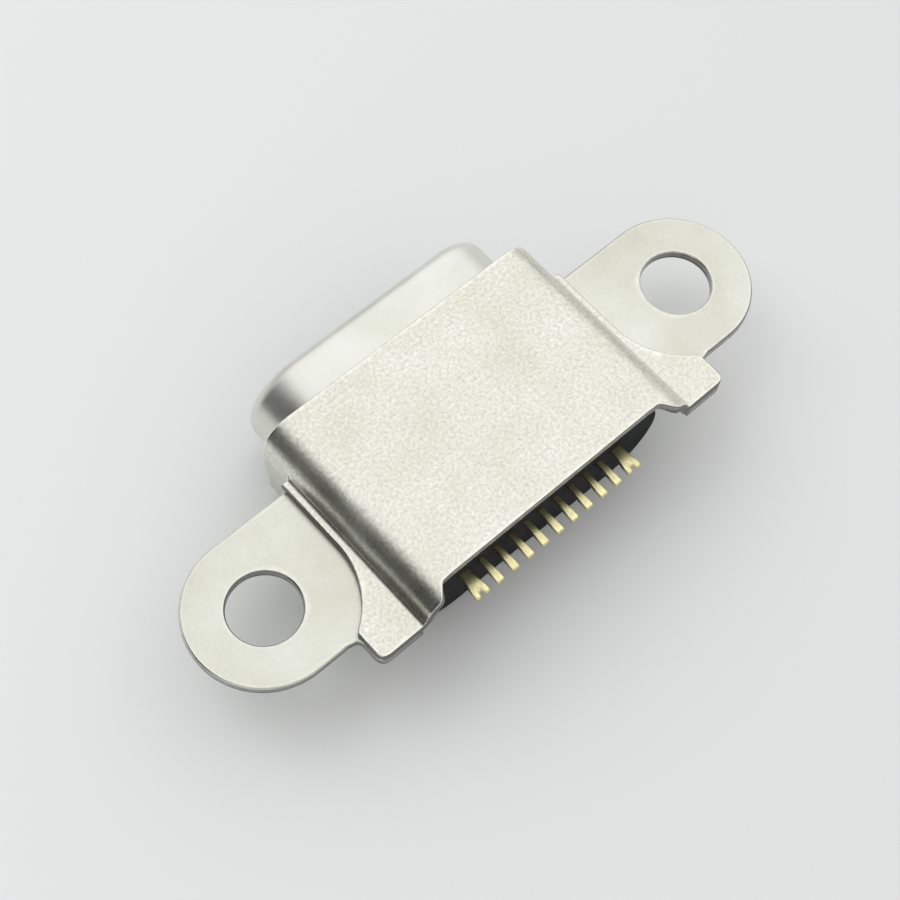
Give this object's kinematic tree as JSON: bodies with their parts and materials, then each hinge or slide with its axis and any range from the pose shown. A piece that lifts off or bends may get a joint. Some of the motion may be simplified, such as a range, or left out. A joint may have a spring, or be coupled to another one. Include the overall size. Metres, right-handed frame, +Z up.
{
  "type": "micro usb socket",
  "caption": "Sealed micro connector socket: polished oval nose held in a stamped cover and bracket with screw ears, black contact carrier inside and a row of solder tails behind.",
  "frame": {"origin": "midway between the two ear holes, on the underside of the ears", "axes": "+X towards the right ear, +Y towards the plug mouth, +Z up towards the stamped cover"},
  "size_m": [0.0178, 0.0075, 0.0035],
  "materials": {
    "nose_steel": "polished",
    "cover_steel": "satin",
    "bracket_steel": "satin",
    "carrier_plastic": "matte",
    "insulator_plastic": "matte",
    "contact_gold": "plated"
  },
  "bodies": {
    "root": {"front_shell": "nose_steel", "top_cover": "cover_steel", "lower_bracket": "bracket_steel", "upper_carrier": "carrier_plastic", "lower_carrier": "carrier_plastic", "rear_insulator": "insulator_plastic", "contact_01": "contact_gold", "contact_02": "contact_gold", "contact_03": "contact_gold", "contact_04": "contact_gold", "contact_05": "contact_gold", "contact_06": "contact_gold", "contact_07": "contact_gold", "contact_08": "contact_gold", "contact_09": "contact_gold", "contact_10": "contact_gold", "contact_11": "contact_gold"}
  },
  "joints": []
}
